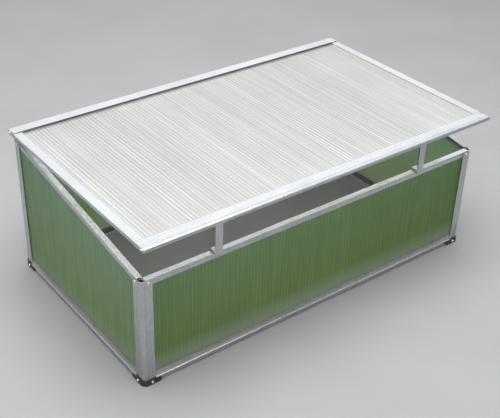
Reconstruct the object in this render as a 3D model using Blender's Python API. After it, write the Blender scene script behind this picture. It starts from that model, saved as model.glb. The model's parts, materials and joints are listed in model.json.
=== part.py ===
"""Cold frame: an aluminium box with twin-wall panels and a lid hinged along its high rear edge.

Metres, +Z up, front towards -Y. The origin lies on the ground under the middle of the
bounding box. The rest pose has the lid level, held up by two props on the front rail.
"""
import math

import bmesh
import bpy
from mathutils import Matrix, Vector

# Box
WIDTH = 1.000              # outer width over the corner posts
DEPTH = 0.568              # outer depth over the corner posts
FRONT_HEIGHT = 0.285       # ground to the top of the front rail
REAR_HEIGHT = 0.372        # ground to the top of the rear rail
LEDGE_HEIGHT = 0.016       # ground to the ledge of the bottom rails
GROUND_CLEARANCE = 0.003   # ground to the lower edge of the posts and skirts
GAP = 0.0003               # between pieces that touch

# Wall panels and rails, measured inwards from the outer planes of the box
PANEL = 0.004              # thickness of every twin-wall panel
SHEET = 0.0012             # wall thickness of the rail profiles
FLANGE = 0.0015            # thickness of the post flanges
WEB_INSET = FLANGE + GAP   # outer face of the rail webs, behind the post flanges
SLOT = PANEL + 2 * GAP     # width of the panel slots
RAIL_WIDTH = 0.014         # top rails, seen from above
RAIL_LIP = 0.002           # thickness of the top rails' upper plate
TOP_WEB = 0.016            # height of the top rails' outer web
TOP_INNER_WEB = 0.012
SLOT_ROOF = 0.0025         # top of the rail to the roof of its slot
REAR_SLOT_ROOF = 0.0045    # the same where the hinge channel lies above the slot
BOTTOM_WEB = 0.013         # height of the bottom rails above their ledge
LEDGE_OUT = 0.0028         # how far the ledge stands out of the box
LEDGE_THICKNESS = 0.0016
INNER_DROP = 0.002         # the bottom rails' inner wall is lower than the outer one by this
COVE_STEPS = 6

# Corner posts
POST_FLANGE = 0.030        # reach of a flange from the corner
POST_CORE = 0.0139         # square tube at the corner
POST_RADIUS = 0.010
POST_WALL = 0.0015
GROOVE_WIDTH = 0.0012
GROOVE_DEPTH = 0.0008
CORNER_SPACE = POST_CORE + GAP
HOLLOW_BELOW = 0.010       # how far the cutter of a post's hollow starts below the ground

# Feet
FOOT_ARM = 0.045           # reach of a foot from the corner
FOOT_WALL = 0.0025
FOOT_OUT = GAP + FOOT_WALL
FOOT_HEIGHT = 0.014
FOOT_FLOOR = 0.0027
FOOT_INWARD = 0.013        # how far the foot's floor reaches under the box
CUT_MARGIN = 0.002         # how far cutters reach past the faces that they cut

# Lid
LID_HALF_WIDTH = 0.5077
LID_FRONT = 0.3174         # middle of the box to the lid's front edge
LID_REAR = 0.2886          # middle of the box to the lid's rear edge
LID_TOP = 0.3890           # top of the side rails
LID_REAR_TOP = 0.3910
LID_BOTTOM = 0.3800        # lower edge of the side rails
LID_PLATE = 0.0015
LID_WALL = 0.0016
LID_SIDE_WIDTH = 0.022
LID_FRONT_WIDTH = 0.0359
LID_REAR_WIDTH = 0.0270
LID_SLOT_BOTTOM = 0.3829   # underside of the lid panel's slot
LID_WEB = 0.3000           # middle of the box to the end of the front rail's panel slot
LID_SHELF = LID_SLOT_BOTTOM - LID_PLATE
LID_SHELF_WIDTH = 0.018    # the side rails' shelf under the panel
NOSE_HEIGHT = 0.0054
NOSE_DEPTH = 0.0016
NOSE_RADIUS = 0.0046
LID_GROOVE = 0.0085        # front edge to the groove along the front rail
LID_GROOVE_WIDTH = 0.0020
LID_GROOVE_DEPTH = 0.0006
LID_STEP = 0.0185          # front edge to the lower strip beside the panel
LID_STEP_DEPTH = 0.0004
LID_PANEL_IN = 0.0100      # how far the panel reaches into the rear rail
LID_PANEL_SPACE = 0.0004   # past the panel's end
LID_LIP = 0.0040           # the rear rail's lower lip
LID_LIP_GAP = 0.0040       # between its lips
LID_SCREW_LENGTH = 0.010
LID_SCREW_HOLE_DEPTH = 0.008
LID_FRONT_SCREW = (0.0095, 0.0050)   # from the front edge and from the top
LID_REAR_SCREW = (0.0080, 0.0060)    # from the rear edge and from the floor of the rail

# Hinge: a bead under the lid's rear rail turns in a channel on the rear top rail
HINGE_Y = 0.2788
HINGE_Z = 0.3740
BEAD_RADIUS = 0.0032
NECK = 0.0015
CHANNEL_INNER = 0.00355
CHANNEL_OUTER = 0.00485
CHANNEL_ARC = (117.5, 351.8)   # the channel's solid part, in degrees from +Y towards +Z
LID_RISE = 0.0050          # hinge axis to the underside of the lid's rear rail
STOP_PLATE = 0.0015
STOP_SPIGOT = 0.010
STOP_SPIGOT_INSET = 0.002

# Props
PROP_X = 0.305
PROP_WIDTH = 0.020
PROP_DEPTH = 0.003
PROP_WEB = 0.0016
PROP_HEAD_GAP = 0.0004     # between a standing prop and the lid
PROP_FOOT = 0.010          # hinge axis to the start of the bar's channel
PROP_RIM = 0.0001          # how far the knuckles stay inside the bar's sides
CLIP_SHEET = 0.0012
CLIP_WALL = 0.0014
CLIP_TOP = 0.2903
CLIP_LEG_BOTTOM = 0.2790
PIN_RADIUS = 0.0009
PIN_HOLE = 0.0010
PIN_HEAD = 0.0016
PIN_HEAD_LENGTH = 0.0005
PIN_Z = 0.2822
KNUCKLE = 0.0022
KNUCKLE_WIDTH = 0.0070     # the clip's knuckle, between the two of the prop

# Screws
SCREW_HEAD = 0.0033
SCREW_HEAD_HEIGHT = 0.0022
SCREW_SHANK = 0.0016
SCREW_HOLE = 0.0020
SCREW_TIP = 0.0006
POST_HOLE_LENGTH = 0.020
RAIL_HOLE_LENGTH = 0.008
POST_SCREW_INSET = 0.0205  # corner of the box to the post screws
POST_SCREW_DROP = 0.0080   # top rail to the post screws
REAR_SCREW_DROP = 0.0120   # the rear face's are lower, clear of the open lid
FOOT_SCREW_INSET = 0.020
FOOT_SCREW_Z = 0.0082

HALF_WIDTH = WIDTH / 2
HALF_DEPTH = DEPTH / 2
SLOPE = (REAR_HEIGHT - FRONT_HEIGHT) / DEPTH
SLOT_OUT = -(WEB_INSET + SHEET)          # outer side of a wall slot
SLOT_IN = SLOT_OUT - SLOT
PANEL_OUT = SLOT_OUT - GAP
PANEL_IN = PANEL_OUT - PANEL
REAR_REACH = HALF_DEPTH + FOOT_OUT + SCREW_HEAD_HEIGHT
BODY_Y = (LID_FRONT - REAR_REACH) / 2    # centres the bounding box on the origin
TAB_FRONT = -(HALF_DEPTH + GAP + CLIP_SHEET)
PROP_BACK = TAB_FRONT - GAP
PIN_Y = PROP_BACK - KNUCKLE


# ---------------------------------------------------------------- scene and materials

def clear_scene():
    for item in list(bpy.data.objects):
        bpy.data.objects.remove(item, do_unlink=True)


def make_material(name, colour, roughness, metallic=0.0, alpha=1.0):
    material = bpy.data.materials.new(name)
    material.use_nodes = True
    shader = material.node_tree.nodes["Principled BSDF"]
    shader.inputs["Base Color"].default_value = (*colour, 1.0)
    shader.inputs["Roughness"].default_value = roughness
    shader.inputs["Metallic"].default_value = metallic
    shader.inputs["Alpha"].default_value = alpha
    return material


def material_for(base, name):
    """Each piece has a material of its own, so one piece can be recoloured alone."""
    material = base.copy()
    material.name = name + "_material"
    return material


# ---------------------------------------------------------------- shapes

def add_object(name, mesh, base, parent):
    piece = bpy.data.objects.new(name, mesh)
    bpy.context.scene.collection.objects.link(piece)
    piece.parent = parent
    if parent.parent:
        piece.location = -parent.location
    if base:
        mesh.materials.clear()
        mesh.materials.append(material_for(base, name))
    return piece


def mesh_from(bm, name):
    bmesh.ops.recalc_face_normals(bm, faces=bm.faces)
    mesh = bpy.data.meshes.new(name)
    bm.to_mesh(mesh)
    bm.free()
    return mesh


def prism_mesh(name, ring_a, ring_b):
    """A closed solid between two outlines that have the same number of points."""
    bm = bmesh.new()
    first = [bm.verts.new(point) for point in ring_a]
    second = [bm.verts.new(point) for point in ring_b]
    bm.faces.new(first)
    bm.faces.new(second[::-1])
    for i in range(len(first)):
        j = (i + 1) % len(first)
        bm.faces.new((first[j], first[i], second[i], second[j]))
    return mesh_from(bm, name)


def along_x(name, outline, x0, x1):
    """outline: (y, z) points"""
    return prism_mesh(name, [(x0, y, z) for y, z in outline], [(x1, y, z) for y, z in outline])


def along_y(name, outline, y0, y1, rise=0.0):
    """outline: (x, z) points; rise lifts the far end, so that the prism slopes"""
    return prism_mesh(name, [(x, y0, z) for x, z in outline], [(x, y1, z + rise) for x, z in outline])


def along_z(name, outline, z0, z1):
    """outline: (x, y) points"""
    return prism_mesh(name, [(x, y, z0) for x, y in outline], [(x, y, z1) for x, y in outline])


def box_outline(a0, b0, a1, b1):
    return [(a0, b0), (a1, b0), (a1, b1), (a0, b1)]


def on_circle(centre, radius, degrees):
    angle = math.radians(degrees)
    return centre[0] + radius * math.cos(angle), centre[1] + radius * math.sin(angle)


def arc(centre, radius, start, end, steps):
    """Points on a circle, from the start angle to the end angle in degrees."""
    return [on_circle(centre, radius, start + (end - start) * i / steps) for i in range(steps + 1)]


def lathe_mesh(name, profile, segments):
    """A closed solid turned about Z. profile: (radius, z), with both ends on the axis."""
    bm = bmesh.new()
    rings = []
    for radius, z in profile:
        if radius == 0:
            rings.append([bm.verts.new((0, 0, z))])
            continue
        turn = [2 * math.pi * k / segments for k in range(segments)]
        rings.append([bm.verts.new((radius * math.cos(a), radius * math.sin(a), z)) for a in turn])
    for lower, upper in zip(rings, rings[1:]):
        for k in range(segments):
            n = (k + 1) % segments
            near = [lower[k % len(lower)], lower[n % len(lower)]]
            far = [upper[n % len(upper)], upper[k % len(upper)]]
            bm.faces.new(list(dict.fromkeys(near + far)))
    mesh = mesh_from(bm, name)
    mesh.shade_smooth()
    mesh.set_sharp_from_angle(angle=math.radians(35))
    return mesh


def hide_tool(tool):
    tool.hide_render = True
    tool.display_type = "WIRE"


def combine(piece, tool_mesh, operation):
    """Joins a solid to a piece, or cuts one out of it."""
    tool = add_object(tool_mesh.name, tool_mesh, None, piece.parent)
    hide_tool(tool)
    modifier = piece.modifiers.new(tool.name, "BOOLEAN")
    modifier.operation = operation
    modifier.solver = "EXACT"
    modifier.object = tool


def drill(piece, holes):
    """holes: (point, direction, radius, length), each hole centred on its point"""
    bm = bmesh.new()
    for point, direction, radius, length in holes:
        turn = Vector(direction).to_track_quat("Z", "Y").to_matrix().to_4x4()
        bmesh.ops.create_cone(bm, cap_ends=True, segments=12, radius1=radius, radius2=radius,
                              depth=length, matrix=Matrix.Translation(point) @ turn)
    combine(piece, mesh_from(bm, piece.name + "_holes"), "DIFFERENCE")


# ---------------------------------------------------------------- where things go

def top_at(y):
    """Height of the rails' top above the ground, which rises from front to rear."""
    return FRONT_HEIGHT + (y + HALF_DEPTH) * SLOPE


def flip(outline, sign, offset):
    """Turns (outwards, z) points into positions on one side of the box."""
    return [(sign * (offset + out), z) for out, z in outline]


# ---------------------------------------------------------------- box

def top_rail_outline(top, roof):
    web_bottom = top - TOP_WEB
    inner_bottom = top - TOP_INNER_WEB
    return [
        (0, top), (0, top - RAIL_LIP),
        (-WEB_INSET, top - RAIL_LIP), (-WEB_INSET, web_bottom), (SLOT_OUT, web_bottom),
        (SLOT_OUT, top - roof), (SLOT_IN, top - roof),
        (SLOT_IN, inner_bottom), (SLOT_IN - SHEET, inner_bottom), (SLOT_IN - SHEET, top - RAIL_LIP),
        (-RAIL_WIDTH, top - RAIL_LIP), (-RAIL_WIDTH, top),
    ]


def hinge_channel_outline():
    """The open ring on the rear top rail, from the rail's top in front to its rear edge."""
    centre = (HINGE_Y - HALF_DEPTH, HINGE_Z)
    sunk = math.degrees(math.asin((HINGE_Z - REAR_HEIGHT) / CHANNEL_OUTER))
    start, end = CHANNEL_ARC
    outer = arc(centre, CHANNEL_OUTER, 180 + sunk, start, 5)
    inner = arc(centre, CHANNEL_INNER, start, end, 14)
    rear = on_circle(centre, CHANNEL_OUTER, end)
    return outer + inner + [rear, (rear[0], REAR_HEIGHT)]


def rear_top_rail_outline():
    plain = top_rail_outline(REAR_HEIGHT, REAR_SLOT_ROOF)
    plain[1:3] = [(0, REAR_HEIGHT - 2 * RAIL_LIP), (-WEB_INSET, REAR_HEIGHT - 2 * RAIL_LIP)]
    return plain + hinge_channel_outline()


def bottom_rail_outline():
    base = LEDGE_HEIGHT - LEDGE_THICKNESS
    top = LEDGE_HEIGHT + BOTTOM_WEB
    cove_out = LEDGE_OUT + WEB_INSET
    cove = []
    for i in range(COVE_STEPS + 1):
        angle = math.radians(180 + 90 * i / COVE_STEPS)
        cove.append((LEDGE_OUT + cove_out * math.cos(angle), top + BOTTOM_WEB * math.sin(angle)))
    slot_floor = LEDGE_HEIGHT + GAP
    return cove + [
        (LEDGE_OUT, base), (0, base), (0, GROUND_CLEARANCE), (-FLANGE, GROUND_CLEARANCE), (-FLANGE, base),
        (SLOT_IN - SHEET, base), (SLOT_IN - SHEET, top - INNER_DROP), (SLOT_IN, top - INNER_DROP),
        (SLOT_IN, slot_floor), (SLOT_OUT, slot_floor), (SLOT_OUT, top),
    ]


def add_rails(frame, aluminium):
    half_x = HALF_WIDTH - CORNER_SPACE
    half_y = HALF_DEPTH - CORNER_SPACE
    front = flip(top_rail_outline(FRONT_HEIGHT, SLOT_ROOF), -1, HALF_DEPTH)
    rear = flip(rear_top_rail_outline(), 1, HALF_DEPTH)
    rails = {}
    for name, outline in (("front_top_rail", front), ("rear_top_rail", rear)):
        rails[name] = add_object(name, along_x(name, outline, -half_x, half_x), aluminium, frame)
    rise = 2 * half_y * SLOPE
    for side, sign in (("left", -1), ("right", 1)):
        name = side + "_top_rail"
        outline = flip(top_rail_outline(top_at(-half_y), SLOT_ROOF), sign, HALF_WIDTH)
        rails[name] = add_object(name, along_y(name, outline, -half_y, half_y, rise), aluminium, frame)

    section = bottom_rail_outline()
    end_x = HALF_WIDTH - POST_FLANGE - GAP
    end_y = HALF_DEPTH - POST_FLANGE - GAP
    for side, sign in (("front", -1), ("rear", 1)):
        name = side + "_bottom_rail"
        mesh = along_x(name, flip(section, sign, HALF_DEPTH), -end_x, end_x)
        add_object(name, mesh, aluminium, frame)
    for side, sign in (("left", -1), ("right", 1)):
        name = side + "_bottom_rail"
        mesh = along_y(name, flip(section, sign, HALF_WIDTH), -end_y, end_y)
        add_object(name, mesh, aluminium, frame)
    return rails


def add_panels(frame, twin_wall):
    bottom = LEDGE_HEIGHT + 2 * GAP
    half_x = HALF_WIDTH - CORNER_SPACE - GAP
    half_y = HALF_DEPTH - CORNER_SPACE - GAP
    front_top = FRONT_HEIGHT - SLOT_ROOF - GAP
    rear_top = REAR_HEIGHT - REAR_SLOT_ROOF - GAP
    for side, sign, top in (("front", -1, front_top), ("rear", 1, rear_top)):
        name = side + "_panel"
        outline = flip(box_outline(PANEL_OUT, bottom, PANEL_IN, top), sign, HALF_DEPTH)
        add_object(name, along_x(name, outline, -half_x, half_x), twin_wall, frame)
    drop = SLOT_ROOF + GAP
    side_outline = [(-half_y, bottom), (half_y, bottom), (half_y, top_at(half_y) - drop),
                    (-half_y, top_at(-half_y) - drop)]
    for side, sign in (("left", -1), ("right", 1)):
        name = side + "_panel"
        faces = sign * (HALF_WIDTH + PANEL_OUT), sign * (HALF_WIDTH + PANEL_IN)
        add_object(name, along_x(name, side_outline, *faces), twin_wall, frame)


def post_outline(sign_x, sign_y):
    """Plan of a post: two flanges on a tube whose outer corner is round, with a groove
    where the round part meets each flange."""
    start = POST_RADIUS + GROOVE_WIDTH
    points = [(POST_FLANGE, 0), (start, 0), (start - GROOVE_WIDTH / 2, GROOVE_DEPTH)]
    points += arc((POST_RADIUS, POST_RADIUS), POST_RADIUS, 270, 180, 6)
    points += [(GROOVE_DEPTH, start - GROOVE_WIDTH / 2), (0, start), (0, POST_FLANGE), (FLANGE, POST_FLANGE),
               (FLANGE, POST_CORE), (POST_CORE, POST_CORE), (POST_CORE, FLANGE), (POST_FLANGE, FLANGE)]
    return [(sign_x * (HALF_WIDTH - a), sign_y * (HALF_DEPTH - b)) for a, b in points]


def tube_outline(sign_x, sign_y):
    """The hollow of a post, with the round corner's wall kept even."""
    near = POST_WALL + GROOVE_DEPTH
    far = POST_CORE - POST_WALL
    points = [(far, near), (far, far), (near, far)]
    points += arc((POST_RADIUS, POST_RADIUS), POST_RADIUS - near, 180, 270, 4)
    return [(sign_x * (HALF_WIDTH - a), sign_y * (HALF_DEPTH - b)) for a, b in points]


def post_top(sign_y):
    """The flanges end just under the lips of the rails, which slope at the rear posts."""
    if sign_y < 0:
        return FRONT_HEIGHT - RAIL_LIP - GAP
    return REAR_HEIGHT - POST_FLANGE * SLOPE - RAIL_LIP - GAP


def corners():
    for row, sign_y in (("front", -1), ("rear", 1)):
        for side, sign_x in (("left", -1), ("right", 1)):
            yield row + "_" + side, sign_x, sign_y


def corner_screws(sign_x, sign_y):
    """Where a corner's four screws sit: (name, face point, outward direction, shank length)."""
    x_face, y_face = sign_x * HALF_WIDTH, sign_y * HALF_DEPTH
    x_in = sign_x * (HALF_WIDTH - POST_SCREW_INSET)
    y_in = sign_y * (HALF_DEPTH - POST_SCREW_INSET)
    x_foot = x_face + sign_x * FOOT_OUT
    y_foot = y_face + sign_y * FOOT_OUT
    x_low = sign_x * (HALF_WIDTH - FOOT_SCREW_INSET)
    y_low = sign_y * (HALF_DEPTH - FOOT_SCREW_INSET)
    if sign_y < 0:
        face_z = FRONT_HEIGHT - POST_SCREW_DROP
        side_z = face_z
    else:
        face_z = REAR_HEIGHT - REAR_SCREW_DROP
        side_z = top_at(y_in) - POST_SCREW_DROP
    reach = WEB_INSET + SHEET
    foot_reach = FOOT_OUT + 2 * FLANGE
    return [
        ("post_screw_end", (x_in, y_face, face_z), (0, sign_y, 0), reach),
        ("post_screw_side", (x_face, y_in, side_z), (sign_x, 0, 0), reach),
        ("foot_screw_end", (x_low, y_foot, FOOT_SCREW_Z), (0, sign_y, 0), foot_reach),
        ("foot_screw_side", (x_foot, y_low, FOOT_SCREW_Z), (sign_x, 0, 0), foot_reach),
    ]


def screw_mesh(name, shank_length):
    """Pan head that sits on z = 0 with its shank along -Z."""
    tip = [(0, -shank_length), (0.7 * SCREW_SHANK, -shank_length), (SCREW_SHANK, SCREW_TIP - shank_length)]
    head = [(SCREW_HEAD, GAP), (SCREW_HEAD, 0.35 * SCREW_HEAD_HEIGHT),
            (0.86 * SCREW_HEAD, 0.75 * SCREW_HEAD_HEIGHT), (0.5 * SCREW_HEAD, 0.97 * SCREW_HEAD_HEIGHT)]
    return lathe_mesh(name, [*tip, (SCREW_SHANK, GAP), *head, (0, SCREW_HEAD_HEIGHT)], 12)


def place_screw(name, point, direction, shank_length, steel, parent):
    screw = add_object(name, screw_mesh(name, shank_length), steel, parent)
    screw.location = screw.location + Vector(point)
    screw.rotation_euler = Vector(direction).to_track_quat("Z", "Y").to_euler()


def foot_plan(sign_x, sign_y, outer, reach, inward):
    """Plan of a corner shoe: an L around the post, with its corner rounded."""
    points = [(reach, -outer)] + arc((POST_RADIUS, POST_RADIUS), POST_RADIUS + outer, 270, 180, 8)
    points += [(-outer, reach), (inward, reach), (inward, inward), (reach, inward)]
    return [(sign_x * (HALF_WIDTH - a), sign_y * (HALF_DEPTH - b)) for a, b in points]


def add_foot(name, sign_x, sign_y, holes, plastic, frame):
    """A corner shoe: a floor under the post and a wall around it, with round-ended arms."""
    block = along_z(name, foot_plan(sign_x, sign_y, FOOT_OUT, FOOT_ARM, FOOT_INWARD), 0, FOOT_HEIGHT)
    foot = add_object(name, block, plastic, frame)
    space = foot_plan(sign_x, sign_y, GAP, FOOT_ARM + CUT_MARGIN, FOOT_INWARD + CUT_MARGIN)
    combine(foot, along_z(name + "_space", space, FOOT_FLOOR, FOOT_HEIGHT + CUT_MARGIN), "DIFFERENCE")

    radius = FOOT_HEIGHT / 2
    centre = FOOT_ARM - radius
    past = FOOT_ARM + CUT_MARGIN
    end = [(past, -CUT_MARGIN), (centre, -CUT_MARGIN)] + arc((centre, radius), radius, 270, 450, 12)
    end += [(centre, FOOT_HEIGHT + CUT_MARGIN), (past, FOOT_HEIGHT + CUT_MARGIN)]
    outside, inside = FOOT_OUT + CUT_MARGIN, FOOT_INWARD + CUT_MARGIN
    x_end = along_y(name + "_x_end", [(sign_x * (HALF_WIDTH - a), z) for a, z in end],
                    sign_y * (HALF_DEPTH + outside), sign_y * (HALF_DEPTH - inside))
    y_end = along_x(name + "_y_end", [(sign_y * (HALF_DEPTH - a), z) for a, z in end],
                    sign_x * (HALF_WIDTH + outside), sign_x * (HALF_WIDTH - inside))
    combine(foot, x_end, "DIFFERENCE")
    combine(foot, y_end, "DIFFERENCE")
    drill(foot, holes)


def add_corners(frame, rails, aluminium, plastic, steel):
    rail_holes = {name: [] for name in rails}
    for corner, sign_x, sign_y in corners():
        name = corner + "_post"
        solid = along_z(name, post_outline(sign_x, sign_y), GROUND_CLEARANCE, post_top(sign_y))
        post = add_object(name, solid, aluminium, frame)
        tube = along_z(name + "_hollow", tube_outline(sign_x, sign_y), -HOLLOW_BELOW, REAR_HEIGHT)
        combine(post, tube, "DIFFERENCE")
        screws = corner_screws(sign_x, sign_y)
        for label, point, direction, length in screws:
            place_screw(corner + "_" + label, point, direction, length, steel, frame)
        holes = [(point, direction, SCREW_HOLE, POST_HOLE_LENGTH) for _, point, direction, _ in screws]
        drill(post, holes)
        add_foot(corner + "_foot", sign_x, sign_y, holes[2:], plastic, frame)
        row, side = corner.split("_")
        for rail, (_, point, direction, _) in zip((row, side), screws):
            rail_holes[rail + "_top_rail"].append((point, direction, SCREW_HOLE, RAIL_HOLE_LENGTH))
    for name, holes in rail_holes.items():
        drill(rails[name], holes)


# ---------------------------------------------------------------- hinge ends

def at_rear_corner(plan, sign):
    """Turns distances from a rear corner's two faces into (x, y) points."""
    return [(sign * (HALF_WIDTH - a), HALF_DEPTH - b) for a, b in plan]


def add_hinge_stops(frame, plastic):
    """Caps on the rear posts. Each has an upright that keeps the lid's bead in its channel."""
    base = post_top(1) + GAP
    middle = base + STOP_PLATE / 2
    centre = (POST_RADIUS, POST_RADIUS)
    for side, sign in (("left", -1), ("right", 1)):
        name = "hinge_stop_" + side
        plan = [(POST_CORE, GAP)] + arc(centre, POST_RADIUS - GAP, 270, 180, 6)
        plan += [(GAP, POST_CORE), (POST_CORE, POST_CORE)]
        plate = along_z(name, at_rear_corner(plan, sign), base, base + STOP_PLATE)
        stop = add_object(name, plate, plastic, frame)
        low = POST_WALL + GROOVE_DEPTH + 2 * GAP + STOP_SPIGOT_INSET
        high = POST_CORE - POST_WALL - GAP
        plan = at_rear_corner(box_outline(low, low, high, high), sign)
        combine(stop, along_z(name + "_spigot", plan, base - STOP_SPIGOT, middle), "UNION")
        outline = [(HINGE_Y + CHANNEL_OUTER, middle)] + arc((HINGE_Y, HINGE_Z), CHANNEL_OUTER, 0, 180, 12)
        outline += [(HINGE_Y - CHANNEL_OUTER, middle)]
        start = sign * (HALF_WIDTH - CORNER_SPACE + 2 * GAP)
        combine(stop, along_x(name + "_upright", outline, start, start + sign * STOP_PLATE), "UNION")


# ---------------------------------------------------------------- lid

def nose_outline():
    """(y, z): the rounded front of the lid, from the nose's lower edge up to the top."""
    centre = (NOSE_RADIUS - LID_FRONT, LID_TOP - NOSE_RADIUS)
    return [(-LID_FRONT, LID_TOP - NOSE_HEIGHT)] + arc(centre, NOSE_RADIUS, 180, 90, 6)


def lid_front_outline():
    """(y, z): a nose in front, a grooved plate on top and a slot for the panel."""
    front = -LID_FRONT
    face = front + NOSE_DEPTH
    rear = front + LID_FRONT_WIDTH
    web = -LID_WEB
    top = LID_TOP
    under = top - LID_PLATE
    groove = front + LID_GROOVE
    groove_end = groove + LID_GROOVE_WIDTH
    groove_floor = top - LID_GROOVE_DEPTH
    step = front + LID_STEP
    strip = top - LID_STEP_DEPTH
    return nose_outline() + [
        (groove, top), (groove + LID_GROOVE_DEPTH, groove_floor),
        (groove_end - LID_GROOVE_DEPTH, groove_floor), (groove_end, top),
        (step, top), (step + LID_STEP_DEPTH, strip), (rear, strip),
        (rear, under), (web, under), (web, LID_SLOT_BOTTOM), (rear, LID_SLOT_BOTTOM), (rear, LID_SHELF),
        (web - LID_WALL, LID_SHELF), (web - LID_WALL, under), (face + LID_WALL, under),
        (face + LID_WALL, LID_BOTTOM), (face, LID_BOTTOM), (face, top - NOSE_HEIGHT),
    ]


def lid_rear_outline():
    """(y, z): a channel that is open to the rear, with a slot for the panel in front."""
    rear = LID_REAR
    front = rear - LID_REAR_WIDTH
    slot_end = front + LID_PANEL_IN + LID_PANEL_SPACE
    top = LID_REAR_TOP
    floor = HINGE_Z + LID_RISE
    lower_lip = floor + LID_LIP
    upper_lip = lower_lip + LID_LIP_GAP
    return [
        (rear, floor), (rear, lower_lip), (rear - LID_WALL, lower_lip),
        (rear - LID_WALL, floor + LID_PLATE), (slot_end + LID_WALL, floor + LID_PLATE),
        (slot_end + LID_WALL, top - LID_PLATE), (rear - LID_WALL, top - LID_PLATE),
        (rear - LID_WALL, upper_lip), (rear, upper_lip), (rear, top), (front, top),
        (front, LID_TOP - LID_PLATE), (slot_end, LID_TOP - LID_PLATE), (slot_end, LID_SLOT_BOTTOM),
        (front, LID_SLOT_BOTTOM), (front, LID_SHELF), (slot_end, LID_SHELF), (slot_end, floor),
    ]


def bead_outline():
    """(y, z): the hinge bead on its neck, which reaches into the rail's floor."""
    half_neck = NECK / 2
    lean = math.degrees(math.asin(half_neck / BEAD_RADIUS))
    root = HINGE_Z + LID_RISE + LID_PLATE / 2
    bead = arc((HINGE_Y, HINGE_Z), BEAD_RADIUS, 90 + lean, 450 - lean, 18)
    return [(HINGE_Y - half_neck, root), *bead, (HINGE_Y + half_neck, root)]


def lid_side_outline(sign):
    """(x, z): an outer wall with a plate above and a shelf below the panel."""
    outer = LID_HALF_WIDTH
    wall = outer - LID_WALL
    points = [
        (outer, LID_BOTTOM), (outer, LID_TOP), (outer - LID_SIDE_WIDTH, LID_TOP),
        (outer - LID_SIDE_WIDTH, LID_TOP - LID_PLATE), (wall, LID_TOP - LID_PLATE), (wall, LID_SLOT_BOTTOM),
        (outer - LID_SHELF_WIDTH, LID_SLOT_BOTTOM), (outer - LID_SHELF_WIDTH, LID_SHELF), (wall, LID_SHELF),
        (wall, LID_BOTTOM),
    ]
    return [(sign * x, z) for x, z in points]


def lid_cap_outlines():
    """(y, z): the plates that close the ends of the front and the rear rail."""
    face = NOSE_DEPTH - LID_FRONT
    inner = LID_FRONT_WIDTH - LID_FRONT
    front_cap = nose_outline() + [(inner, LID_TOP), (inner, LID_BOTTOM), (face, LID_BOTTOM),
                                  (face, LID_TOP - NOSE_HEIGHT)]
    rear_cap = box_outline(LID_REAR - LID_REAR_WIDTH, HINGE_Z + LID_RISE, LID_REAR, LID_REAR_TOP)
    return {"front": front_cap, "rear": rear_cap}


def add_lid(lid_axis, aluminium, twin_wall, steel):
    outer = LID_HALF_WIDTH
    half = outer - LID_WALL - GAP
    front_mesh = along_x("lid_front_rail", lid_front_outline(), -half, half)
    add_object("lid_front_rail", front_mesh, aluminium, lid_axis)
    rear_mesh = along_x("lid_rear_rail", lid_rear_outline(), -half, half)
    rear_rail = add_object("lid_rear_rail", rear_mesh, aluminium, lid_axis)
    bead_half = HALF_WIDTH - CORNER_SPACE
    combine(rear_rail, along_x("lid_hinge_bead", bead_outline(), -bead_half, bead_half), "UNION")

    start = -LID_FRONT + LID_FRONT_WIDTH + GAP
    end = LID_REAR - LID_REAR_WIDTH - GAP
    screw_places = {
        "front": (LID_FRONT_SCREW[0] - LID_FRONT, LID_TOP - LID_FRONT_SCREW[1]),
        "rear": (LID_REAR - LID_REAR_SCREW[0], HINGE_Z + LID_RISE + LID_REAR_SCREW[1]),
    }
    for side, sign in (("left", -1), ("right", 1)):
        name = "lid_" + side + "_rail"
        add_object(name, along_y(name, lid_side_outline(sign), start, end), aluminium, lid_axis)
        for row, outline in lid_cap_outlines().items():
            name = "lid_cap_" + row + "_" + side
            cap = along_x(name, outline, sign * outer, sign * (outer - LID_WALL))
            cap = add_object(name, cap, aluminium, lid_axis)
            point = (sign * outer, *screw_places[row])
            drill(cap, [(point, (1, 0, 0), SCREW_HOLE, LID_SCREW_HOLE_DEPTH)])
            screw = "lid_screw_" + row + "_" + side
            place_screw(screw, point, (sign, 0, 0), LID_SCREW_LENGTH, steel, lid_axis)

    low = LID_SLOT_BOTTOM + GAP
    rear_end = LID_REAR - LID_REAR_WIDTH + LID_PANEL_IN
    outline = box_outline(-LID_WEB + GAP, low, rear_end, low + PANEL)
    add_object("lid_panel", along_x("lid_panel", outline, -half, half), twin_wall, lid_axis)


# ---------------------------------------------------------------- props

def add_box(bm, low, high):
    """Adds a box between two opposite corners."""
    size = [b - a for a, b in zip(low, high)]
    middle = [(a + b) / 2 for a, b in zip(low, high)]
    bmesh.ops.create_cube(bm, size=1, matrix=Matrix.Translation(middle) @ Matrix.Diagonal((*size, 1)))


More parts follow.
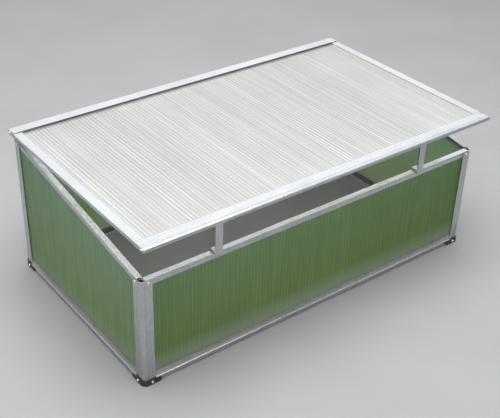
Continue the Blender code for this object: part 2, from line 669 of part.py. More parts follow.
def add_clip(name, x, aluminium, frame):
    """A saddle over the front rail, with the middle knuckle of the prop's hinge in front."""
    seat = FRONT_HEIGHT + GAP
    leg_front = -HALF_DEPTH + RAIL_WIDTH + GAP
    leg_back = leg_front + CLIP_SHEET
    tab_back = TAB_FRONT + CLIP_SHEET
    tab_bottom = PIN_Z - KNUCKLE + GAP
    outline = [
        (TAB_FRONT, tab_bottom), (TAB_FRONT, CLIP_TOP), (leg_back, CLIP_TOP), (leg_back, CLIP_LEG_BOTTOM),
        (leg_front, CLIP_LEG_BOTTOM), (leg_front, seat), (tab_back, seat), (tab_back, tab_bottom),
    ]
    half = PROP_WIDTH / 2
    clip = add_object(name, along_x(name, outline, x - half, x + half), aluminium, frame)
    knuckle = arc((PIN_Y, PIN_Z), KNUCKLE, 90, 270, 12)
    root = TAB_FRONT + CLIP_SHEET / 2
    knuckle += [(root, PIN_Z - KNUCKLE), (root, PIN_Z + KNUCKLE)]
    combine(clip, along_x(name + "_knuckle", knuckle, x - KNUCKLE_WIDTH / 2, x + KNUCKLE_WIDTH / 2), "UNION")
    bm = bmesh.new()
    add_box(bm, (x - half - CUT_MARGIN, TAB_FRONT + CLIP_WALL, seat + CLIP_SHEET),
            (x + half + CUT_MARGIN, leg_back - CLIP_WALL, CLIP_TOP - CLIP_SHEET))
    combine(clip, mesh_from(bm, name + "_hollow"), "DIFFERENCE")
    drill(clip, [((x, PIN_Y, PIN_Z), (1, 0, 0), PIN_HOLE, 2 * KNUCKLE_WIDTH)])


def add_prop(name, x, aluminium, axis):
    """A channel section with its open side to the rear and two knuckles at its foot."""
    half = PROP_WIDTH / 2
    notch = KNUCKLE_WIDTH / 2 + GAP
    notch_top = PIN_Z + KNUCKLE + GAP
    top = LID_SHELF - PROP_HEAD_GAP
    front = PROP_BACK - PROP_DEPTH
    outline = [(x - half, PIN_Z), (x - notch, PIN_Z), (x - notch, notch_top), (x + notch, notch_top),
               (x + notch, PIN_Z), (x + half, PIN_Z), (x + half, top), (x - half, top)]
    bar = add_object(name, along_y(name, outline, front, PROP_BACK), aluminium, axis)
    for sign in (-1, 1):
        knuckle = arc((PIN_Y, PIN_Z), KNUCKLE - PROP_RIM / 2, 0, 360, 20)[:-1]
        ends = x + sign * (notch + PROP_RIM), x + sign * (half - PROP_RIM)
        label = "_right_knuckle" if sign > 0 else "_left_knuckle"
        combine(bar, along_x(name + label, knuckle, *ends), "UNION")
    bm = bmesh.new()
    wall = PROP_DEPTH - PROP_WEB
    add_box(bm, (x - half + wall, front + PROP_WEB, PIN_Z + PROP_FOOT),
            (x + half - wall, PROP_BACK + CUT_MARGIN, top + CUT_MARGIN))
    combine(bar, mesh_from(bm, name + "_channel"), "DIFFERENCE")
    drill(bar, [((x, PIN_Y, PIN_Z), (1, 0, 0), PIN_HOLE, 2 * PROP_WIDTH)])


def add_props(frame, axes, aluminium, steel):
    """Each prop stands on a clip on the front rail and folds down in front of the box."""
    reach = PROP_WIDTH / 2 + GAP
    head = reach + PIN_HEAD_LENGTH
    pin = [(0, -head), (PIN_HEAD, -head), (PIN_HEAD, -reach), (PIN_RADIUS, -reach),
           (PIN_RADIUS, reach), (PIN_HEAD, reach), (PIN_HEAD, head), (0, head)]
    for side, sign in (("left", -1), ("right", 1)):
        x = sign * PROP_X
        add_clip(side + "_prop_clip", x, aluminium, frame)
        add_prop(side + "_prop", x, aluminium, axes[side])
        name = side + "_prop_pin"
        piece = add_object(name, lathe_mesh(name, pin, 12), steel, frame)
        piece.location = (x, PIN_Y, PIN_Z)
        piece.rotation_euler = (0, math.radians(90), 0)


# ---------------------------------------------------------------- assembly

def add_empty(name, location, parent=None):
    empty = bpy.data.objects.new(name, None)
    bpy.context.scene.collection.objects.link(empty)
    empty.location = location
    empty.parent = parent
    return empty


def main():
    clear_scene()
    aluminium = make_material("aluminium", (0.80, 0.81, 0.82), 0.38, metallic=1.0)
    twin_wall = make_material("twin_wall", (0.82, 0.86, 0.82), 0.30, alpha=0.55)
    plastic = make_material("black_plastic", (0.012, 0.012, 0.013), 0.45)
    steel = make_material("steel", (0.72, 0.72, 0.72), 0.25, metallic=1.0)

    frame = add_empty("base_frame", (0, BODY_Y, 0))
    lid_axis = add_empty("lid_axis", (0, HINGE_Y, HINGE_Z), frame)
    prop_axes = {}
    for side, sign in (("left", -1), ("right", 1)):
        prop_axes[side] = add_empty(side + "_prop_axis", (sign * PROP_X, PIN_Y, PIN_Z), frame)

    rails = add_rails(frame, aluminium)
    add_panels(frame, twin_wall)
    add_corners(frame, rails, aluminium, plastic, steel)
    add_hinge_stops(frame, plastic)
    add_lid(lid_axis, aluminium, twin_wall, steel)
    add_props(frame, prop_axes, aluminium, steel)


main()
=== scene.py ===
"""Looks of the cold frame: twin-wall sheets, extruded aluminium, moulded feet and screws.

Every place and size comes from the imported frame. Units are metres, +Z up.
"""
import json
import math

import bmesh
import bpy
from mathutils import Euler, Matrix, Vector


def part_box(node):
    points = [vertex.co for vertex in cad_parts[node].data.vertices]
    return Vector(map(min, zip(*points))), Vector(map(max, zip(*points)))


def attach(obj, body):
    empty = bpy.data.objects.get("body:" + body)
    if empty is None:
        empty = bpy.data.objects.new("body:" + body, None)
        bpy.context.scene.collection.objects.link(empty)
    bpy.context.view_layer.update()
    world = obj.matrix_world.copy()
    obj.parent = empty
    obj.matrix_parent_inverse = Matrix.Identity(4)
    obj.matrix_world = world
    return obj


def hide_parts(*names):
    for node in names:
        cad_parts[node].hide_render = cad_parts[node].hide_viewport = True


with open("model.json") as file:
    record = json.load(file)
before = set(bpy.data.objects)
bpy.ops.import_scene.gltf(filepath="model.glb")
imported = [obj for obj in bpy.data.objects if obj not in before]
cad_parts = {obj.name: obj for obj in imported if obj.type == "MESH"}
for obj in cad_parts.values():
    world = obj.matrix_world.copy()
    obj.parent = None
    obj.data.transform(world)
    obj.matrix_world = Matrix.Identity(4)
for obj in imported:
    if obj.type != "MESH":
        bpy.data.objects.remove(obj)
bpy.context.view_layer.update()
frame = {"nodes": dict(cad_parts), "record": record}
nodes = frame["nodes"]

# Rounded edges
EDGE = 0.00022             # of the extrusions
MOULDED_EDGE = 0.0005      # of the moulded pieces
PIN_EDGE = 0.00012         # of the props' hinge pins
EDGE_SEGMENTS = 2
EDGE_ANGLE = 40            # degrees between two faces from which their edge is rounded
WELD_WITHIN = 0.00001

# Shape of the twin-wall sheets
FLUTE_PITCH = 0.0047       # from rib to rib
RIB = 0.0004               # thickness of a rib
SKIN = 0.0005              # thickness of a sheet's two faces
RIB_MARGIN = 0.0005        # from the ribs to the sheet's edges
SAME_EDGE = 0.0001         # corners this close lie on one edge of a sheet
FACES_AWAY = -0.5          # outward part of the normal, below which a face is the inner one
OUTER, RIBS, INNER = 0, 1, 2    # material places of a sheet

# Look of the twin-wall sheets. ribs: how dark the ribs show; glow: the share of light that
# is scattered through; alpha: the share that isn't let straight through.
SHEETS = {
    "wall_sheet": dict(dark=(0.175, 0.295, 0.090), pale=(0.262, 0.412, 0.145),
                       ribs=0.14, glow=0.45, alpha=0.40),
    "wall_sheet_inside": dict(dark=(0.48, 0.60, 0.38), pale=(0.55, 0.68, 0.44),
                              ribs=0.10, glow=0.80, alpha=0.30),
    # Painted light: the side walls' sheets are the wall sheets painted paler and bluer outside,
    # and a little bluer inside. This stands in for the sky that the side walls reflect.
    "side_sheet": dict(dark=(0.342, 0.465, 0.262), pale=(0.447, 0.590, 0.362),
                       ribs=0.10, glow=0.45, alpha=0.40),
    "side_sheet_inside": dict(dark=(0.48, 0.60, 0.40), pale=(0.55, 0.68, 0.46),
                              ribs=0.10, glow=0.80, alpha=0.30),
    "lid_sheet": dict(dark=(0.665, 0.648, 0.645), pale=(0.99, 0.970, 0.970),
                      ribs=0.30, glow=0.81, alpha=0.92),
    "lid_sheet_inside": dict(dark=(0.84, 0.84, 0.82), pale=(0.96, 0.96, 0.95),
                             ribs=0.10, glow=0.92, alpha=0.88),
}
WALL_RIBS = dict(colour=(0.45, 0.55, 0.40), glow=0.5)
LID_RIBS = dict(colour=(0.85, 0.86, 0.85), glow=0.8)
RIB_PALE = (0.9, 0.92, 0.9)
RIB_SHADE = 0.45           # tone of the ribs' lines, as a share of the sheet's dark tone
ALTERNATING = 0.55         # share of a flute's tone that changes from each flute to the next
OWN = 0.45                 # share that is each flute's own
WALL_TINTS = (1.05, 1.0, 0.80), (0.97, 1.0, 1.25)   # at the foot of the walls and at their top
NO_TINTS = (1.0, 1.0, 1.0), (1.0, 1.0, 1.0)
TINT_HEIGHTS = (0.02, 0.34)
PALE_FOOT = 0.65                # paler band of the walls along their bottom rails
PALE_FOOT_HEIGHTS = (0.042, 0.082)
PALE_FOOT_COLOUR = (0.60, 0.62, 0.54)
# Painted shade: a dark strip on the lid sheet along its rear rail. It stands in for the rail's
# shadow and the rail's dark reflection in the sheet.
PAINTED_SHADE_WIDTH = 0.016       # strip of the lid sheet that darkens towards the rear rail
PAINTED_SHADE_SHARE = 0.85
PAINTED_SHADE_COLOUR = (0.10, 0.10, 0.11)
FLUTE_FADING = (0.55, 1.0)      # share of a flute's tone that is left where it fades most, least
CLOUD_SHIFT = (-0.06, 0.10)
RIB_LINE = (0.70, 0.98)    # values of the flutes' wave over which a rib's line comes in
FLUTE_RELIEF = (0.0001, 0.7)
SHEET_IOR = 1.58
SHEET_ROUGHNESS = (0.20, 0.34)
GLOSS_ROUGHNESS = 0.22
RIB_PALING = (0.0, 0.35)
RIB_ROUGHNESS = (0.25, 0.40)

# Other materials. Each relief: its height and its strength.
METAL_TONES = (0.50, 0.51, 0.52), (0.58, 0.59, 0.60)
METAL_STREAK = 0.88        # tone of the darkest draw lines
METAL_ROUGHNESS = (0.24, 0.32)
METAL_SCUFF = 0.07         # roughness that scuffs add
METAL_SCUFFED = (0.55, 0.75)    # values of the scuffs that show
METAL_RELIEF = (0.00002, 0.3)
PLASTIC_TONES = (0.010, 0.010, 0.011), (0.040, 0.040, 0.038)
PLASTIC_DUSTY = (0.40, 0.80)
PLASTIC_ROUGHNESS = (0.22, 0.42)
PLASTIC_RELIEF = (0.00006, 0.4)
STEEL_TONES = (0.76, 0.77, 0.79), (0.92, 0.92, 0.91)
STEEL_ROUGHNESS = (0.18, 0.32)
STEEL_RELIEF = (0.00002, 0.4)
FLOOR_TONES = (0.198, 0.201, 0.198), (0.214, 0.217, 0.214)
FLOOR_ROUGHNESS = 0.9

# Noises
SPREAD = (0.3, 0.7)        # where nearly all values of a noise lie
MIDDLE = (0.35, 0.65)      # a narrower range, for more contrast
DRAW_LINES = dict(scale=900, detail=3, roughness=0.6)
STAINS = dict(scale=9, detail=4, roughness=0.6)
SCUFFS = dict(scale=60, detail=6, roughness=0.7)
GRAIN = dict(scale=1400, detail=2)
DUST = dict(scale=45, detail=5, roughness=0.65)
TURNING_MARKS = dict(scale=2500, detail=2)
PLATING = dict(scale=300, detail=3)
FLUTE_FADE = dict(scale=210, detail=2)
SHEET_CLOUD = dict(scale=5, detail=3, roughness=0.55)
RIB_CLOUD = dict(scale=400, detail=2)
FLOOR_CLOUD = dict(scale=3, detail=3)
# Draws a noise out along an axis
STRETCH = {"x": (0.02, 1, 1), "y": (1, 0.02, 1), "z": (1, 1, 0.02)}

# Screws
HEAD_HEIGHT = 0.0022
HEAD_STEPS = 8             # round the head's shoulder
CROWN = 0.55               # flat top of the head, as a share of its radius
SHOULDER = 0.55            # height of the rounded shoulder, as a share of the head's height
HEAD_RIM = 0.0004          # height of the head's lower rim
HEAD_UNDERSIDE = 0.0003
RIM_CHAMFER = 0.0001
SHANK = 0.0016             # radius over the thread
THREAD_DEPTH = 0.00035
THREAD_PITCH = 0.0009
TIP = 0.6                  # radius of the screw's end, as a share of its shank
SCREW_SEGMENTS = 32
RECESS_WIDTH = 0.0010      # of a slot of the cross
RECESS_REACH = 0.0019      # from the middle to the end of a slot
RECESS_DEPTH = 0.0013
RECESS_ABOVE = 0.0002      # how far the cutter reaches above the head
RECESS_TOP = (1.1, 1.05)   # reach and width of the cutter's top, as shares of the slot's
RECESS_FLOOR = (0.45, 0.7)
SMOOTH_UP_TO = 35          # degrees
SCREW_TURN = 37            # degrees by which the recess turns from one screw to the next

# Camera, light and floor
CAMERA_LENS = 69.11        # millimetres, as is the sensor's width
CAMERA_SENSOR = 36.0
CAMERA_NEAR = 0.05
CAMERA_OFFSET = Vector((-1.2938, -1.6467, 1.4702))   # from the ground under the box's middle
CAMERA_TURN = (1.0025, -0.0281, -0.6489)             # radians
FLOOR_SIZE = 12
LAMPS = (                  # name, place, point that it faces, size, power
    ("top_softbox", (-0.2, -0.1, 3.2), (0, 0, 0.3), (2.6, 2.6), 225),
    ("rear_softbox", (2.1, 2.7, 2.4), (0, 0, 0.3), (3.6, 2.4), 25),
    ("front_fill", (-2.0, -2.5, 2.2), (0, 0, 0.2), (1.2, 1.2), 30),
)
HORIZON = (0.33, 0.35, 0.36)
SKY = (0.93, 0.97, 1.0)
SKY_BAND = (0.02, 0.42)    # steepness at which the horizon ends and at which the sky is full
SKY_STRENGTH = 0.8


# ---------------------------------------------------------------- materials

class Tree:
    """A material's node tree with short calls for the nodes that this scene needs."""

    def __init__(self, name):
        self.material = bpy.data.materials.new(name)
        self.material.use_nodes = True
        self.nodes = self.material.node_tree.nodes
        self.links = self.material.node_tree.links
        self.shader = self.nodes["Principled BSDF"]
        self.place = self.nodes.new("ShaderNodeTexCoord").outputs["Object"]

    def add(self, kind, **values):
        node = self.nodes.new("ShaderNode" + kind)
        for key, value in values.items():
            setattr(node, key, value)
        return node

    def feed(self, socket, value):
        if isinstance(value, bpy.types.NodeSocket):
            self.links.new(value, socket)
        else:
            socket.default_value = value

    def scaled(self, scale):
        """Object coordinates, stretched or squeezed along each axis."""
        node = self.add("Mapping")
        self.feed(node.inputs["Vector"], self.place)
        node.inputs["Scale"].default_value = scale
        return node.outputs["Vector"]

    def noise(self, scale, detail=2.0, roughness=0.5, stretch=(1, 1, 1)):
        node = self.add("TexNoise")
        self.feed(node.inputs["Vector"], self.scaled(stretch))
        node.inputs["Scale"].default_value = scale
        node.inputs["Detail"].default_value = detail
        node.inputs["Roughness"].default_value = roughness
        return node.outputs["Fac"]

    def ranged(self, value, source, target):
        """Maps one range of values onto another and holds what lies beyond its ends."""
        node = self.add("MapRange")
        for key, number in zip(("From Min", "From Max", "To Min", "To Max"), (*source, *target)):
            node.inputs[key].default_value = number
        self.feed(node.inputs["Value"], value)
        return node.outputs["Result"]

    def ramp(self, value, positions, colours):
        node = self.add("ValToRGB")
        for element, position, colour in zip(node.color_ramp.elements, positions, colours):
            element.position = position
            element.color = (*colour, 1.0)
        self.feed(node.inputs["Fac"], value)
        return node.outputs["Color"]

    def maths(self, operation, a, b=0.0):
        node = self.add("Math", operation=operation)
        self.feed(node.inputs[0], a)
        self.feed(node.inputs[1], b)
        return node.outputs["Value"]

    def mixed(self, factor, a, b, blend="MIX"):
        """a and b: sockets, or colours of three numbers."""
        node = self.add("MixRGB", blend_type=blend)
        self.feed(node.inputs["Fac"], factor)
        for key, colour in (("Color1", a), ("Color2", b)):
            self.feed(node.inputs[key], (*colour, 1.0) if isinstance(colour, tuple) else colour)
        return node.outputs["Color"]

    def bump(self, height, distance, strength):
        node = self.add("Bump")
        node.inputs["Distance"].default_value = distance
        node.inputs["Strength"].default_value = strength
        self.feed(node.inputs["Height"], height)
        self.links.new(node.outputs["Normal"], self.shader.inputs["Normal"])

    def scatter_through(self, colour, share):
        """Lets a share of the light pass through the surface, scattered and coloured."""
        through = self.add("BsdfTranslucent")
        self.feed(through.inputs["Color"], colour)
        blend = self.add("MixShader")
        blend.inputs["Fac"].default_value = share
        self.links.new(self.shader.outputs["BSDF"], blend.inputs[1])
        self.links.new(through.outputs["BSDF"], blend.inputs[2])
        self.links.new(blend.outputs["Shader"], self.nodes["Material Output"].inputs["Surface"])

    def set(self, **values):
        """Sets or links inputs of the shader: base_color becomes "Base Color"."""
        for key, value in values.items():
            label = "IOR" if key == "ior" else key.replace("_", " ").title()
            self.feed(self.shader.inputs[label], value)
        return self.material


def aluminium(axis):
    """Mill-finish extrusion: fine draw lines along its axis, slight stains and scuffs."""
    tree = Tree("aluminium_along_" + axis)
    lines = tree.noise(**DRAW_LINES, stretch=STRETCH[axis])
    tone = tree.ramp(tree.noise(**STAINS), SPREAD, METAL_TONES)
    streak = tree.ramp(lines, MIDDLE, ((METAL_STREAK,) * 3, (1.0, 1.0, 1.0)))
    colour = tree.mixed(1.0, tone, streak, "MULTIPLY")
    scuffed = tree.ranged(tree.noise(**SCUFFS), METAL_SCUFFED, (0.0, METAL_SCUFF))
    rough = tree.maths("ADD", tree.ranged(lines, SPREAD, METAL_ROUGHNESS), scuffed)
    tree.bump(lines, *METAL_RELIEF)
    return tree.set(base_color=colour, roughness=rough, metallic=1.0)


def black_plastic():
    """Injection-moulded nylon: a fine grain, a little dust and paler wear."""
    tree = Tree("moulded_black")
    dust = tree.noise(**DUST)
    colour = tree.ramp(dust, PLASTIC_DUSTY, PLASTIC_TONES)
    rough = tree.ranged(dust, SPREAD, PLASTIC_ROUGHNESS)
    tree.bump(tree.noise(**GRAIN), *PLASTIC_RELIEF)
    return tree.set(base_color=colour, roughness=rough)


def screw_steel():
    """Zinc-plated steel with faint turning marks."""
    tree = Tree("zinc_plated")
    marks = tree.noise(**TURNING_MARKS)
    colour = tree.ramp(tree.noise(**PLATING), SPREAD, STEEL_TONES)
    rough = tree.ranged(marks, SPREAD, STEEL_ROUGHNESS)
    tree.bump(marks, *STEEL_RELIEF)
    return tree.set(base_color=colour, roughness=rough, metallic=1.0)


def sheet_skin(name, across, flute_axis, tints=NO_TINTS, gloss=0.0, pale_foot=0.0, painted_shade_to=None):
    """Translucent face of a sheet. Flutes differ slightly in tone and fade along their length,
    and the ribs show through as thin lines. across: the axis that the flutes are counted along.
    tints: colours at the low and high edge. haze: strength of the pale band along the foot.
    painted_shade_to: y of the edge towards which the sheet darkens. This is painted shade,
    standing in for the shadow and the dark reflection of the rail along that edge."""
    look = SHEETS[name]
    tree = Tree(name)
    separate = tree.add("SeparateXYZ")
    tree.feed(separate.inputs["Vector"], tree.place)
    flute = tree.maths("DIVIDE", separate.outputs["XYZ".index(across)], FLUTE_PITCH)
    number = tree.maths("FLOOR", flute)
    own = tree.add("TexWhiteNoise", noise_dimensions="1D")
    tree.feed(own.inputs["W"], number)
    alternating = tree.maths("MULTIPLY", tree.maths("PINGPONG", number, 1.0), ALTERNATING)
    tone = tree.maths("ADD", alternating, tree.maths("MULTIPLY", own.outputs["Value"], OWN))
    fade = tree.noise(**FLUTE_FADE, stretch=STRETCH[flute_axis])
    faded = tree.maths("MULTIPLY", tone, tree.ranged(fade, MIDDLE, FLUTE_FADING))
    cloud = tree.ranged(tree.noise(**SHEET_CLOUD), SPREAD, CLOUD_SHIFT)
    shade = tree.maths("ADD", faded, cloud)
    body = tree.mixed(shade, look["dark"], look["pale"])
    drift = tree.ranged(separate.outputs["Z"], TINT_HEIGHTS, (0.0, 1.0))
    tinted = tree.mixed(1.0, body, tree.mixed(drift, *tints), "MULTIPLY")
    if pale_foot:
        near_rail = tree.ranged(separate.outputs["Z"], PALE_FOOT_HEIGHTS, (pale_foot, 0.0))
        tinted = tree.mixed(near_rail, tinted, PALE_FOOT_COLOUR)
    # Painted shade: darkens the sheet next to the rear rail, for the rail's shadow and its dark
    # reflection.
    if painted_shade_to is not None:
        strip = (painted_shade_to - PAINTED_SHADE_WIDTH, painted_shade_to)
        painted_shade = tree.ranged(separate.outputs["Y"], strip, (0.0, PAINTED_SHADE_SHARE))
        tinted = tree.mixed(painted_shade, tinted, PAINTED_SHADE_COLOUR)
    wave = tree.maths("COSINE", tree.maths("MULTIPLY", flute, 2 * math.pi))
    rib = tree.ranged(wave, RIB_LINE, (0.0, look["ribs"]))
    colour = tree.mixed(rib, tinted, tuple(RIB_SHADE * c for c in look["dark"]))
    tree.bump(tree.maths("MULTIPLY", wave, -1.0), *FLUTE_RELIEF)
    rough = tree.ranged(fade, SPREAD, SHEET_ROUGHNESS)
    tree.set(base_color=colour, roughness=rough, alpha=look["alpha"], ior=SHEET_IOR)
    tree.set(coat_weight=gloss, coat_roughness=GLOSS_ROUGHNESS)
    tree.scatter_through(colour, look["glow"])
    return tree.material


def rib_material(name, colour, glow):
    """The walls between the flutes, seen only through the sheet's faces."""
    tree = Tree(name)
    uneven = tree.noise(**RIB_CLOUD)
    tone = tree.mixed(tree.ranged(uneven, SPREAD, RIB_PALING), colour, RIB_PALE)
    rough = tree.ranged(uneven, SPREAD, RIB_ROUGHNESS)
    tree.set(base_color=tone, roughness=rough)
    tree.scatter_through(tone, glow)
    return tree.material


# ---------------------------------------------------------------- carried-over nodes

def rail_axis(name):
    """The axis along which a piece was extruded: its longest side."""
    low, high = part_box(name)
    size = high - low
    return "xyz"[max(range(3), key=lambda i: size[i])]


def soften(piece, width):
    """Closes the shading seams and rounds the edges of a piece."""
    weld = piece.modifiers.new("weld", "WELD")
    weld.merge_threshold = WELD_WITHIN
    bevel = piece.modifiers.new("edges", "BEVEL")
    bevel.width = width
    bevel.segments = EDGE_SEGMENTS
    bevel.limit_method = "ANGLE"
    bevel.angle_limit = math.radians(EDGE_ANGLE)
    bevel.use_clamp_overlap = True
    bevel.harden_normals = True


def finish_nodes(steel):
    metal = {axis: aluminium(axis) for axis in "xyz"}
    plastic = black_plastic()
    for name, piece in nodes.items():
        slot = slots[name]
        if slot == "aluminium":
            material, edge = metal[rail_axis(name)], EDGE
        elif slot == "black_plastic":
            material, edge = plastic, MOULDED_EDGE
        elif name.endswith("_pin"):
            material, edge = steel, PIN_EDGE
        else:
            continue
        piece.data.materials.clear()
        piece.data.materials.append(material)
        soften(piece, edge)


# ---------------------------------------------------------------- new pieces

def mesh_of(name, bm):
    mesh = bpy.data.meshes.new(name)
    bm.to_mesh(mesh)
    bm.free()
    return mesh


def in_scene(name, data):
    item = bpy.data.objects.new(name, data)
    bpy.context.scene.collection.objects.link(item)
    return item


def new_piece(name, mesh, materials, body, replaced):
    """The faces' material indices are set already, and clearing the mesh's materials here
    would lose them."""
    piece = in_scene(name, mesh)
    for material in materials:
        mesh.materials.append(material)
    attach(piece, body)
    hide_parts(replaced)


def sheet_prism(bm, outline, low, high, thin_axis, material_index):
    """Extrudes an outline across a sheet's thickness. outline: points with their thin
    coordinate left out."""
    def point(pair, depth):
        values = list(pair)
        values.insert(thin_axis, depth)
        return values

    near = [bm.verts.new(point(pair, low)) for pair in outline]
    far = [bm.verts.new(point(pair, high)) for pair in outline]
    faces = [bm.faces.new(near), bm.faces.new(far[::-1])]
    for i in range(len(outline)):
        j = (i + 1) % len(outline)
        faces.append(bm.faces.new((near[j], near[i], far[i], far[j])))
    for face in faces:
        face.material_index = material_index


def twin_wall(node, body, thin_axis, flute_axis, skins, outward):
    """A sheet with its ribs inside. Only the top edge of a sheet may slope.
    skins: materials of the outer face, of the ribs and of the inner face.
    outward: 1 where the outer face is the high one along the thin axis, or -1."""
    low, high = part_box(node)
    along = "xyz".index(flute_axis)
    across = ({0, 1, 2} - {thin_axis, along}).pop()
    corners = [v.co.copy() for v in nodes[node].data.vertices]

    def top_at(position):
        """Far end of the flutes at a place across the sheet."""
        ends = []
        for side in (low[across], high[across]):
            ends.append(max(c[along] for c in corners if abs(c[across] - side) < SAME_EDGE))
        share = (position - low[across]) / (high[across] - low[across])
        return ends[0] + (ends[1] - ends[0]) * share

    def corner(across_value, along_value):
        """The two coordinates that lie in the sheet, in axis order."""
        values = {across: across_value, along: along_value}
        return [values[i] for i in range(3) if i != thin_axis]

    def strip(start, end, bottom, start_top, end_top):
        """Outline of the part of the sheet between two places across it."""
        return [corner(start, bottom), corner(end, bottom),
                corner(end, end_top), corner(start, start_top)]

    bm = bmesh.new()
    sides = (low[across], high[across])
    outline = strip(*sides, low[along], top_at(sides[0]), top_at(sides[1]))
    sheet_prism(bm, outline, low[thin_axis], high[thin_axis], thin_axis, OUTER)
    first = math.ceil((low[across] + RIB_MARGIN) / FLUTE_PITCH)
    last = math.floor((high[across] - RIB_MARGIN) / FLUTE_PITCH)
    for step in range(first, last + 1):
        start = step * FLUTE_PITCH - RIB / 2
        end = step * FLUTE_PITCH + RIB / 2
        top = min(top_at(start), top_at(end)) - RIB_MARGIN
        outline = strip(start, end, low[along] + RIB_MARGIN, top, top)
        sheet_prism(bm, outline, low[thin_axis] + SKIN, high[thin_axis] - SKIN, thin_axis, RIBS)
    bmesh.ops.recalc_face_normals(bm, faces=bm.faces)
    bm.normal_update()
    for face in bm.faces:
        if face.material_index == OUTER and face.normal[thin_axis] * outward < FACES_AWAY:
            face.material_index = INNER
    name = node + "_sheet"
    new_piece(name, mesh_of(name, bm), skins, body, node)


def add_sheets():
    ribs = rib_material("wall_ribs", **WALL_RIBS)
    front = [sheet_skin("wall_sheet", "X", "z", WALL_TINTS, pale_foot=PALE_FOOT), ribs,
             sheet_skin("wall_sheet_inside", "X", "z", WALL_TINTS, pale_foot=PALE_FOOT)]
    # The side walls get the same sheet with painted light: paler and bluer, a painted reflection
    # of the sky.
    side = [sheet_skin("side_sheet", "Y", "z", WALL_TINTS, pale_foot=PALE_FOOT), ribs,
            sheet_skin("side_sheet_inside", "Y", "z", WALL_TINTS, pale_foot=PALE_FOOT)]
    lid = [sheet_skin("lid_sheet", "X", "y", gloss=1.0, painted_shade_to=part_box("lid_rear_rail")[0].y),
           rib_material("lid_ribs", **LID_RIBS),
           sheet_skin("lid_sheet_inside", "X", "y")]
    twin_wall("front_panel", "base", 1, "z", front, -1)
    twin_wall("rear_panel", "base", 1, "z", front, 1)
    twin_wall("left_panel", "base", 0, "z", side, -1)
    twin_wall("right_panel", "base", 0, "z", side, 1)
    twin_wall("lid_panel", "lid", 2, "y", lid, 1)


def screw_profile(radius, length):
    """Radius and height from the top of the head down to the tip."""
    profile = [(0, HEAD_HEIGHT)]
    crown = CROWN * radius
    shoulder = SHOULDER * HEAD_HEIGHT
    for step in range(1, HEAD_STEPS + 1):
        angle = math.radians(90 - 90 * step / HEAD_STEPS)
        profile.append((crown + (radius - crown) * math.cos(angle),
                        HEAD_HEIGHT - shoulder + shoulder * math.sin(angle)))
    profile += [(radius, HEAD_RIM), (radius - RIM_CHAMFER, HEAD_UNDERSIDE)]
    z = HEAD_UNDERSIDE
    bottom = HEAD_HEIGHT - length
    while z - THREAD_PITCH > bottom + THREAD_PITCH:
        profile += [(SHANK - THREAD_DEPTH, z), (SHANK, z - THREAD_PITCH / 2)]
        z -= THREAD_PITCH
    return profile + [(SHANK - THREAD_DEPTH, z), (TIP * SHANK, bottom), (0, bottom)]


def turned(name, profile):
    """A solid of revolution around Z. Points on the axis become single vertices."""
    bm = bmesh.new()
    turns = [2 * math.pi * i / SCREW_SEGMENTS for i in range(SCREW_SEGMENTS)]
    rings = []
    for r, height in profile:
        if r == 0:
            rings.append([bm.verts.new((0, 0, height))])
        else:
            rings.append([bm.verts.new((r * math.cos(a), r * math.sin(a), height)) for a in turns])
    for upper, lower in zip(rings, rings[1:]):
        for i in range(SCREW_SEGMENTS):
            j = (i + 1) % SCREW_SEGMENTS
            corners = [upper[i % len(upper)], lower[i % len(lower)],
                       lower[j % len(lower)], upper[j % len(upper)]]
            bm.faces.new(list(dict.fromkeys(corners)))
    bmesh.ops.recalc_face_normals(bm, faces=bm.faces)
    return mesh_of(name, bm)


def recess_cutter():
    """Two crossed bars that narrow towards the bottom of the recess."""
    bm = bmesh.new()
    for quarter in range(2):
        turn = Matrix.Rotation(quarter * math.pi / 2, 3, "Z")
        for vert in bmesh.ops.create_cube(bm, size=1.0)["verts"]:
            is_floor = vert.co.z < 0
            reach, width = RECESS_FLOOR if is_floor else RECESS_TOP
            height = HEAD_HEIGHT + (-RECESS_DEPTH if is_floor else RECESS_ABOVE)
            corner = Vector((math.copysign(RECESS_REACH * reach, vert.co.x),
                             math.copysign(RECESS_WIDTH / 2 * width, vert.co.y), height))
            vert.co = turn @ corner
    return mesh_of("recess_tool", bm)


def cut(mesh, tool_mesh):
    """The mesh less the tool, as a new mesh shaded smooth up to its sharp edges."""
    body = in_scene("cut_body", mesh)
    tool = in_scene("cut_tool", tool_mesh)
    boolean = body.modifiers.new("cut", "BOOLEAN")
    boolean.operation = "DIFFERENCE"
    boolean.solver = "EXACT"
    boolean.use_self = True
    boolean.object = tool
    evaluated = body.evaluated_get(bpy.context.evaluated_depsgraph_get())
    result = bpy.data.meshes.new_from_object(evaluated)
    for item in (body, tool):
        bpy.data.objects.remove(item)
    result.shade_smooth()
    result.set_sharp_from_angle(angle=math.radians(SMOOTH_UP_TO))
    return result


def add_screws(steel):
    """Puts a detailed screw in place of each plain one, with its own turn of the recess.
    Screws whose lengths agree to a hundredth of a millimetre share one shape."""
    templates = {}
    screws = sorted(name for name in nodes if "_screw" in name)
    for number, node in enumerate(screws):
        low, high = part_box(node)
        size = high - low
        axis = 0 if node.endswith("_side") or node.startswith("lid") else 1
        length = round(size[axis], 5)
        if length not in templates:
            plain = turned("screw_template", screw_profile(size.z / 2, length))
            templates[length] = cut(plain, recess_cutter())
        name = node + "_pan_head"
        mesh = templates[length].copy()
        mesh.name = name
        mesh.materials.clear()
        middle = (low + high) / 2
        outward = Vector((0, 0, 0))
        outward[axis] = math.copysign(1, middle[axis])
        base = middle + outward * (length / 2 - HEAD_HEIGHT)
        facing = outward.to_track_quat("Z", "Y").to_matrix().to_4x4()
        turn = Matrix.Rotation(math.radians(SCREW_TURN * number), 4, "Z")
        mesh.transform(Matrix.Translation(base) @ facing @ turn)
        new_piece(name, mesh, [steel], "lid" if node.startswith("lid") else "base", node)


# ---------------------------------------------------------------- camera, light and floor

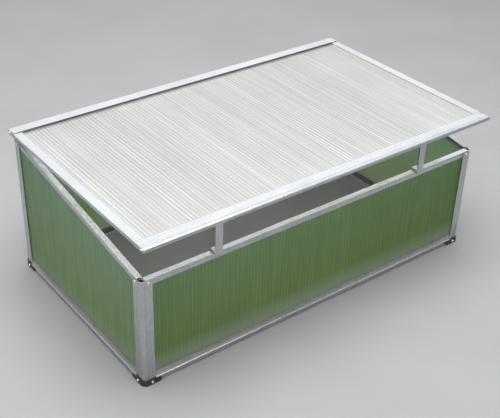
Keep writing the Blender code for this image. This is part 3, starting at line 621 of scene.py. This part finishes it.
def add_camera():
    """Stands where the photograph's perspective puts it, above the front left corner."""
    camera = bpy.data.cameras.new("camera")
    camera.lens = CAMERA_LENS
    camera.sensor_width = CAMERA_SENSOR
    camera.sensor_fit = "HORIZONTAL"
    camera.clip_start = CAMERA_NEAR
    view = in_scene("camera", camera)
    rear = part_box("rear_left_post")[1].y
    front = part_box("front_left_post")[0].y
    view.location = Vector((0, (rear + front) / 2, 0)) + CAMERA_OFFSET
    view.rotation_euler = Euler(CAMERA_TURN)
    bpy.context.scene.camera = view


def add_floor():
    bm = bmesh.new()
    bmesh.ops.create_grid(bm, x_segments=1, y_segments=1, size=FLOOR_SIZE)
    mesh = mesh_of("floor", bm)
    floor = in_scene("floor", mesh)
    tree = Tree("pale_floor")
    colour = tree.ramp(tree.noise(**FLOOR_CLOUD), SPREAD, FLOOR_TONES)
    mesh.materials.append(tree.set(base_color=colour, roughness=FLOOR_ROUGHNESS))


def add_lamps():
    """A softbox overhead, one behind the object whose reflection lies in the level faces, and
    a small one in front."""
    for name, place, target, size, power in LAMPS:
        lamp = bpy.data.lights.new(name, "AREA")
        lamp.shape = "RECTANGLE"
        lamp.size, lamp.size_y = size
        lamp.energy = power
        item = in_scene(name, lamp)
        item.location = place
        item.rotation_euler = (Vector(target) - Vector(place)).to_track_quat("-Z", "Y").to_euler()


def add_sky():
    """An even bright sky above a darker horizon."""
    world = bpy.data.worlds.new("studio")
    world.use_nodes = True
    tree = world.node_tree
    place = tree.nodes.new("ShaderNodeTexCoord")
    separate = tree.nodes.new("ShaderNodeSeparateXYZ")
    tree.links.new(place.outputs["Generated"], separate.inputs["Vector"])
    ramp = tree.nodes.new("ShaderNodeValToRGB")
    ramp.color_ramp.interpolation = "EASE"
    for element, position, colour in zip(ramp.color_ramp.elements, SKY_BAND, (HORIZON, SKY)):
        element.position = position
        element.color = (*colour, 1)
    tree.links.new(separate.outputs["Z"], ramp.inputs["Fac"])
    background = tree.nodes["Background"]
    tree.links.new(ramp.outputs["Color"], background.inputs["Color"])
    background.inputs["Strength"].default_value = SKY_STRENGTH
    bpy.context.scene.world = world


slots = {part["node"]: part["material_slot"] for part in frame["record"]["subparts"]}
steel = screw_steel()
finish_nodes(steel)
add_sheets()
add_screws(steel)
add_camera()
add_floor()
add_lamps()
add_sky()
bpy.context.scene.view_settings.view_transform = "Standard"
